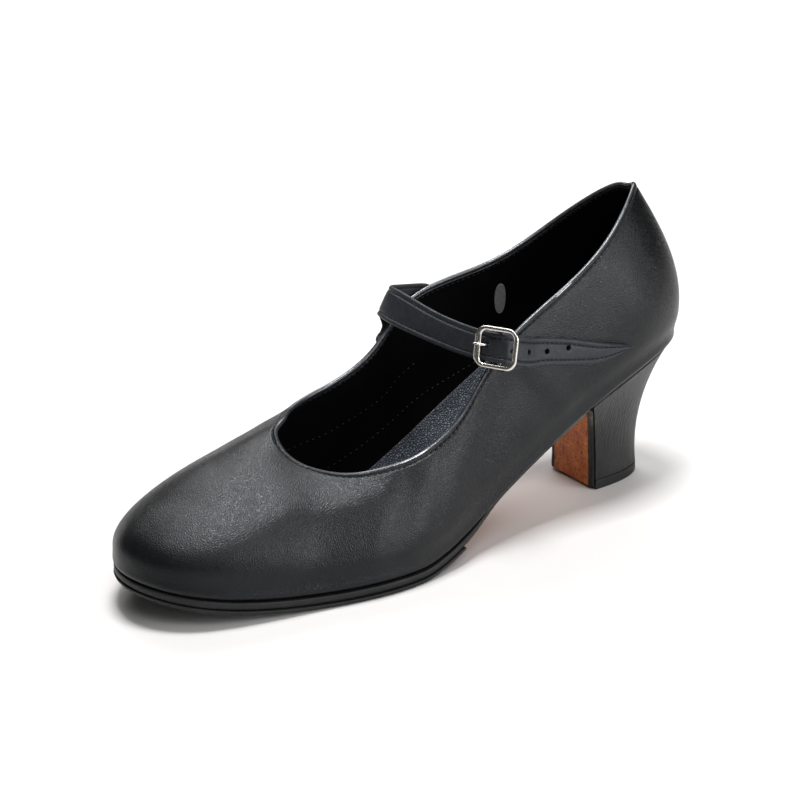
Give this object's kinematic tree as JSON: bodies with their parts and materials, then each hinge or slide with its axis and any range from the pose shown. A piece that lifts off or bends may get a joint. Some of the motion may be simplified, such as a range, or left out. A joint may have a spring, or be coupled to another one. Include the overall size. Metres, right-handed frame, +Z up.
{
  "type": "flamenco shoe",
  "caption": "Left flamenco shoe: black leather upper open over the instep, buckled strap, curved covered heel with a bare leather front, layered sole.",
  "frame": {"origin": "middle of the shoe's box seen from above, on the floor that its sole and heel stand on", "axes": "+Z up, +Y towards the back of the heel so that the toe points along -Y, +X towards the outer side of the foot, where the buckle is"},
  "size_m": [0.0812, 0.2448, 0.1207],
  "materials": {
    "black_leather": "satin",
    "sock_lining": "matt, pebbled",
    "tan_leather": "matt, mottled",
    "sole_rubber": "matt",
    "lift_rubber": "matt",
    "plated_metal": "polished nickel"
  },
  "bodies": {
    "root": {"upper": "black_leather", "insole": "sock_lining", "outsole": "tan_leather", "half_sole": "sole_rubber", "heel": "black_leather", "top_lift": "lift_rubber", "strap": "black_leather", "buckle_frame": "plated_metal", "buckle_prong": "plated_metal", "buckle_tab": "black_leather"}
  },
  "joints": []
}
